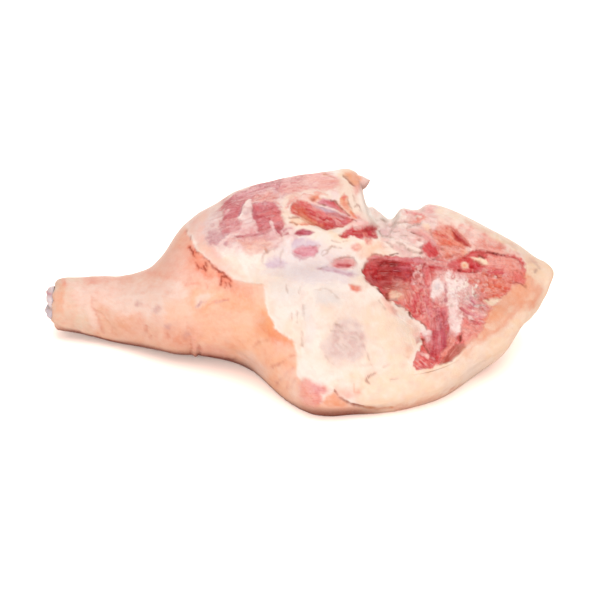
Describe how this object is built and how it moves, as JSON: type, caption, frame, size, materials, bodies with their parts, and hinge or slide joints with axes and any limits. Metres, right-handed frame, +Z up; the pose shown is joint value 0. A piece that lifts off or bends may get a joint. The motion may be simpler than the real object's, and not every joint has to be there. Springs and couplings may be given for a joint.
{
  "type": "raw pork leg",
  "caption": "Whole raw pork leg without the trotter, lying on its rind side with the cut inner face up and the bone end showing at the hock.",
  "frame": {"origin": "on the table, under the middle of the leg's bounding box", "axes": "+X runs along the leg from the hock cut to the rump, +Y from the low near edge of the inner face to its high far edge, +Z up"},
  "size_m": [0.5966, 0.2914, 0.1919],
  "materials": {
    "rind_fat_and_lean": "moist raw rind, cream fat and red lean",
    "gristle": "wet blue-white gristle over bone"
  },
  "bodies": {
    "root": {"leg": "rind_fat_and_lean", "shank_bone": "gristle"}
  },
  "joints": []
}
